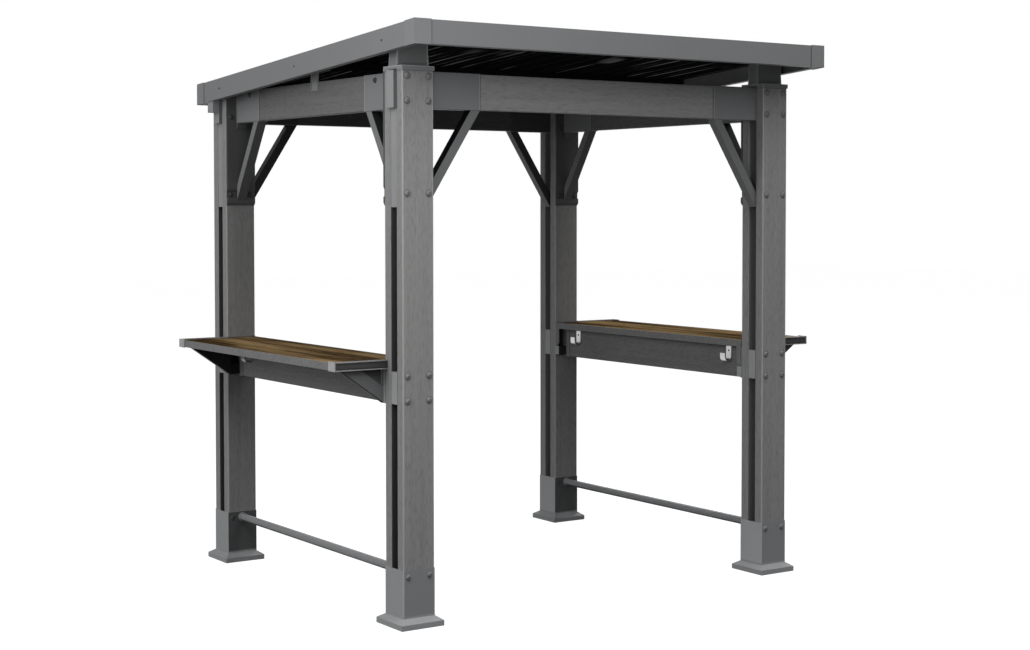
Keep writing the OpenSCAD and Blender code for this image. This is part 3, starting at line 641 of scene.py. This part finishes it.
# %% Fascias
ROOF_SIDE, ROOF_END, COVER_LEG = 1.0166, 0.9705, 0.071
END_FASCIA, SIDE_FASCIA = (0.9505, 0.9605), (0.9966, 1.0066)
COVER_SHADOW_SHARE = 0.8


def cover_edge_shadows(x, y, z):
    """Thin painted shadow lines on the fascias, along the corner covers' ends."""
    def past_shadow_line(value, end):
        """1 from the shadow line to the roof's corner."""
        start = end - COVER_LEG - SHADOW_LINE_WIDTH
        return value.step(start, start + SOFT)

    on_ends = past_shadow_line(x, ROOF_SIDE) * y.step(*END_FASCIA)
    on_sides = past_shadow_line(y, ROOF_END) * x.step(*SIDE_FASCIA)
    return on_ends.most(on_sides) * COVER_SHADOW_SHARE


fascia_coat = powder_coat("fascia_coat", 0.176, (cover_edge_shadows, 0.02), middle=0.0)
tell(fascia_coat)

# %% [markdown]
# Under the roof the sheet is painted nearly black, as shade. Painted highlights make the bent edges of its
# ribs thin bright metal lines that come and go along the slope, with a few painted glints further back, and a
# band of painted shade lies just behind the fascia. The ribs repeat across the width, so a saw-tooth of X,
# which climbs from 0 to 1 over each rib, tells how far a point is from the middle of its rib. The sheet's
# upper side, which the surface's normal tells from the lower, has a plain charcoal coat.

# %% Ribbed roof sheet
RIB_PITCH, RIB_START = 0.10136, -1.0136
RIB_CROWN, RIB_FOOT, EDGE_WIDTH = 0.0122, 0.0243, 0.0014
FACES_UP, BEHIND_FRONT_SHADE = (-0.1, 0.1), (-0.58, -0.50)
ROOF_PATTERNS = {"patches": (4, 6.0), "glints": (2, 5.0)}  # times longer down the slope, waves
PATCHES, PATCH_LIGHT, REST_LIGHT = (0.45, 0.62), 0.85, 0.08
GLINTS, GLINT_LIGHT = (0.55, 0.68), 0.2
GLINT_FRONT, GLINT_REAR, GLINT_SOFTNESS = -0.50, -0.36, 0.04
UNDERSIDE_SHADE_GREY, RIB_HIGHLIGHT_GREY, TOP_GREY = 0.010, 0.30, 0.11
ROOF_ROUGHNESS, CLOUD_ROUGHNESS = 0.45, 0.1


def rib_edge_highlights(x):
    """The painted highlights: 1 on the two upper edges of every rib, and 0.5 on its two lower ones."""
    saw = ((x - RIB_START) * (1 / RIB_PITCH)).saw()
    away = abs(saw - 0.5) * RIB_PITCH
    upper = band(away, RIB_CROWN - EDGE_WIDTH, RIB_CROWN + EDGE_WIDTH)
    lower = band(away, RIB_FOOT - EDGE_WIDTH, RIB_FOOT + EDGE_WIDTH)
    return upper.most(lower * 0.5)


def ribbed_roof(name):
    """Painted shade near black below, with painted highlights as thin bright metal lines on the ribs' edges,
    and charcoal above.
    """
    finish = Finish(name)
    x, y, _ = finish.split(finish.node("ShaderNodeTexCoord").outputs["Object"])
    above = finish.split(finish.node("ShaderNodeNewGeometry").outputs["Normal"])[Z].step(*FACES_UP)
    patches = finish.stretched(Y, ROOF_PATTERNS["patches"]).step(*PATCHES)
    glints = finish.stretched(Y, ROOF_PATTERNS["glints"], detail=1.0).step(*GLINTS) \
        * band(y, GLINT_FRONT, GLINT_REAR, GLINT_SOFTNESS)
    lines = rib_edge_highlights(x) * (patches * PATCH_LIGHT + REST_LIGHT)
    bright = (lines + glints * GLINT_LIGHT) * y.step(*BEHIND_FRONT_SHADE) * (1 - above)
    charcoal, cloud, _ = powder(finish, TOP_GREY)
    below = finish.blend(bright, grey(UNDERSIDE_SHADE_GREY), grey(RIB_HIGHLIGHT_GREY))
    return finish.surface(finish.blend(above, below, charcoal), ROOF_ROUGHNESS + cloud * CLOUD_ROUGHNESS,
                          Metallic=bright, Specular_IOR_Level=0.0)


roof_coat = ribbed_roof("roof_coat")
tell(roof_coat)

# %% [markdown]
# The counters' rim is steel with a coarser, mottled coat, like galvanised metal under a wash of grey.
# Its corner pieces are lighter. The end rails are channels, with painted shade inside, between two lips with
# painted highlights.

# %% Mottled rim
RIM_GREY, CORNER_GREY, RAIL_SHADE_GREY, LIP_HIGHLIGHT_GREY = 0.155, 0.36, 0.05, 0.24
CORNER_PIECE, RAIL_FACE = (1.1944, 1.1948), (0.706, 0.707)
RAIL_START, RAIL_END = 0.968, 1.191  # from the post to the corner piece
UPPER_LIP, LOWER_LIP = (1.0126, 1.0136), (0.9860, 0.9852)
BLOT_WAVES, BLOT_RAGGED, BLOT_EDGES, BLOT_SHARE, BLOT_HEIGHT = 95.0, 0.65, (0.36, 0.66), 0.6, 0.0003
MOTTLE_WAVES, MOTTLE_DARK, MOTTLE_LIGHT = 18.0, 0.78, 1.22
RIM_ROUGHNESS, BLOT_ROUGHNESS, RIM_SHEEN = 0.5, 0.12, 0.1


def mottled_coat(name):
    """Grey with soft blots of two sizes, with light corner pieces, and painted shade and highlights on the
    end rails.
    """
    finish = Finish(name)
    place = finish.place()
    blots = finish.noise(place, BLOT_WAVES, detail=3.0, roughness=BLOT_RAGGED).step(*BLOT_EDGES)
    mottle = blots * BLOT_SHARE + finish.noise(place, MOTTLE_WAVES) * (1 - BLOT_SHARE)

    def mottled(level):
        """The blots, at that level of grey."""
        return finish.blend(mottle, grey(level * MOTTLE_DARK), grey(level * MOTTLE_LIGHT))

    x, y, z = finish.distances()
    rail = y.step(*RAIL_FACE) * band(x, RAIL_START, RAIL_END)
    lip = z.step(*UPPER_LIP).most(z.step(*LOWER_LIP))
    colour = finish.blend(x.step(*CORNER_PIECE), mottled(RIM_GREY), mottled(CORNER_GREY))
    colour = finish.blend(rail, colour, finish.blend(lip, grey(RAIL_SHADE_GREY), mottled(LIP_HIGHLIGHT_GREY)))
    return finish.surface(colour, RIM_ROUGHNESS + blots * BLOT_ROUGHNESS, finish.bump(blots, BLOT_HEIGHT),
                          Specular_IOR_Level=RIM_SHEEN)


rim_coat = mottled_coat("rim_coat")
tell(rim_coat)

# %% [markdown]
# A bracket sits in the shade of its counter, and its light and shade are painted on. The face of its strut
# keeps its grey but for a painted shadow line along its lower edge, and so does the saddle round the apron's
# end. Painted light makes the flange by the post's outer face and its inner edge lighter, and the web behind
# the strut a little lighter than the rest. Painted shade makes the rest of it nearly black.

# %% Brackets
STRUT_GREY, WEB_LIT_GREY, FLANGE_LIT_GREY, BRACKET_SHADE = 0.150, 0.09, 0.30, 0.02
FLANGE_X, STRUT_LOW, STRUT_RISE = 0.967, 0.848, 0.694  # where the strut starts, and its slope
STRUT_FACE, WEB_FACE, SADDLE_FACE = (0.6972, 0.701), (0.6812, 0.6828), (0.0217, 0.0233)  # bands
PAST_FLANGE, STRUT_EDGE = (0.967, 0.9675), (0.0028, 0.0042)
FLANGE_OUTSIDE, FLANGE_END, INNER_EDGE = (0.9664, 0.9668), (0.700, 0.7008), (0.8316, 0.8313)


def painted_bracket_shade(x, y, z):
    """The painted shade: all of a bracket but the strut's face above the shadow line at its lower edge, and
    the saddle's sides.
    """
    over_edge = height_over(STRUT_RISE, x - FLANGE_X, z - STRUT_LOW).step(*STRUT_EDGE)
    strut = band(y, *STRUT_FACE) * x.step(*PAST_FLANGE) * over_edge
    return 1 - strut.most(band(abs(x - POST_X), *SADDLE_FACE))


def flange_painted_light(x, y, z):
    """The painted light on the flange by the post's outer face, and on the inner edge of the bracket."""
    return (x.step(*FLANGE_OUTSIDE) * y.step(*FLANGE_END)).most(x.step(*INNER_EDGE))


def web_painted_light(x, y, z):
    """The painted light on the web behind the strut."""
    return band(y, *WEB_FACE)


bracket_coat = powder_coat("bracket_coat", STRUT_GREY, (painted_bracket_shade, BRACKET_SHADE),
                           (flange_painted_light, FLANGE_LIT_GREY), (web_painted_light, WEB_LIT_GREY), sheen=0.05)
tell(bracket_coat)

# %% [markdown]
# The counter tops are brown boards, oiled, with broad light and dark bands of heartwood along them and
# nearly black streaks. The same contour lines as on the steel make the grain, with warm colours.

# %% Oiled boards
BOARD_LIGHT = (0.215, 0.146, 0.072, 1)
BOARD_MID = (0.100, 0.064, 0.030, 1)
BOARD_DARK = (0.030, 0.019, 0.010, 1)
BOARD_GRAIN = {  # pattern: (how many times longer along the grain, waves to the metre across it)
    "bands": (16, 11.0),
    "hills": (8, 14.0),
    "flecks": (9, 60.0),
    "fibres": (25, 300.0),
}
BANDS_DISTORTION, BOARD_CONTOURS, BOARD_RING_DEPTH, BOARD_GRAIN_HEIGHT = 0.3, 10, 0.6, 0.0005
BOARD_ROUGHNESS, FIBRE_ROUGHNESS = 0.6, 0.15
HEARTWOOD, STREAKS, BOARD_FLECKS = (0.38, 0.58), (0.50, 0.62), (0.52, 0.68)


def oiled_boards(name):
    """Brown wood with its grain along Y."""
    finish = Finish(name)
    bands = finish.stretched(Y, BOARD_GRAIN["bands"], distortion=BANDS_DISTORTION)
    hills = finish.stretched(Y, BOARD_GRAIN["hills"], detail=1.0)
    rings = (hills * (2 * math.pi * BOARD_CONTOURS)).sine() * 0.5 + 0.5
    fibres = finish.stretched(Y, BOARD_GRAIN["fibres"])
    flecks = finish.stretched(Y, BOARD_GRAIN["flecks"]).step(*BOARD_FLECKS)
    warm = finish.blend(bands.step(*HEARTWOOD), BOARD_LIGHT, BOARD_MID)
    streak = bands.step(*STREAKS) * (rings * BOARD_RING_DEPTH + (1 - BOARD_RING_DEPTH)) \
        + flecks * 0.5 + (fibres - 0.5) * 0.5
    return finish.surface(finish.blend(streak, warm, BOARD_DARK), BOARD_ROUGHNESS + fibres * FIBRE_ROUGHNESS,
                          finish.bump(0.0 - streak, BOARD_GRAIN_HEIGHT), Specular_IOR_Level=0.0)


board_finish = oiled_boards("oiled_boards")
tell(board_finish)

# %% [markdown]
# The tool hooks are bent from bare stainless strip, with brush lines and a few bright worn spots.

# %% Brushed stainless
BRUSH_LINES = (20, 900.0)  # times longer down the hook, waves
BRUSH_HEIGHT, WEAR_WAVES = 0.00005, 120.0
HOOK_DARK, HOOK_LIGHT, HOOK_ROUGHNESS, LINE_ROUGHNESS = 0.42, 0.66, 0.28, 0.15


def brushed_steel(name):
    """Bright metal with fine lines down its length."""
    finish = Finish(name)
    lines = finish.stretched(Z, BRUSH_LINES)
    wear = finish.noise(finish.place(), WEAR_WAVES)
    return finish.surface(finish.blend(wear, grey(HOOK_DARK), grey(HOOK_LIGHT)),
                          HOOK_ROUGHNESS + lines * LINE_ROUGHNESS, finish.bump(lines, BRUSH_HEIGHT),
                          Metallic=1.0)


hook_steel = brushed_steel("brushed_stainless")
tell(hook_steel)

# %% [markdown]
# Each CAD node now gets the finish that its place on the gazebo asks for. The first words of its name tell
# which. The grain runs along each member, so cross beams and side beams take two directions of one print,
# in two greys that paint in the different light on them.

# %% Finishes on the CAD nodes
FINISHES = {  # the first words of a node's name: its finish
    "post_front": post_grain,
    "post_rear": post_grain,
    "post_caps": post_cap_coat,
    "post_risers": riser_coat,
    "boot": boot_coat,
    "upper_spacers": upper_spacer_coat,
    "counter_spacers": counter_spacer_coat,
    "beam_front": cross_beam_grain,
    "beam_rear": cross_beam_grain,
    "beam_left": side_beam_grain,
    "beam_right": side_beam_grain,
    "beam_sleeves": sleeve_coat,
    "beam_end_caps": end_cap_coat,
    "hanger": hanger_coat,
    "brace": cross_brace_coat,
    "side_brace": side_brace_coat,
    "fascia": fascia_coat,
    "roof_corner": cover_coat,
    "roof_panels": roof_coat,
    "roof_tie": strap_coat,
    "purlins": purlin_coat,
    "counter_planks": board_finish,
    "counter_frame": rim_coat,
    "counter_brackets": bracket_coat,
    "apron": apron_grain,
    "tool_hooks": hook_steel,
    "footrest_left": footrest_coat,
    "footrest_right": footrest_coat,
    "footrest_sockets": smooth_coat,
    "bolts": bolt_coat,
    "small_screws": screw_coat,
}


def finish_for(name):
    """The material of a CAD node."""
    return next(finish for start, finish in FINISHES.items() if name.startswith(start))


for name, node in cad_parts.items():
    for slot_of_node in node.material_slots:
        slot_of_node.material = finish_for(name)
used = {finish.name for finish in FINISHES.values()}
print("finished", len(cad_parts), "nodes with", len(used), "finishes")
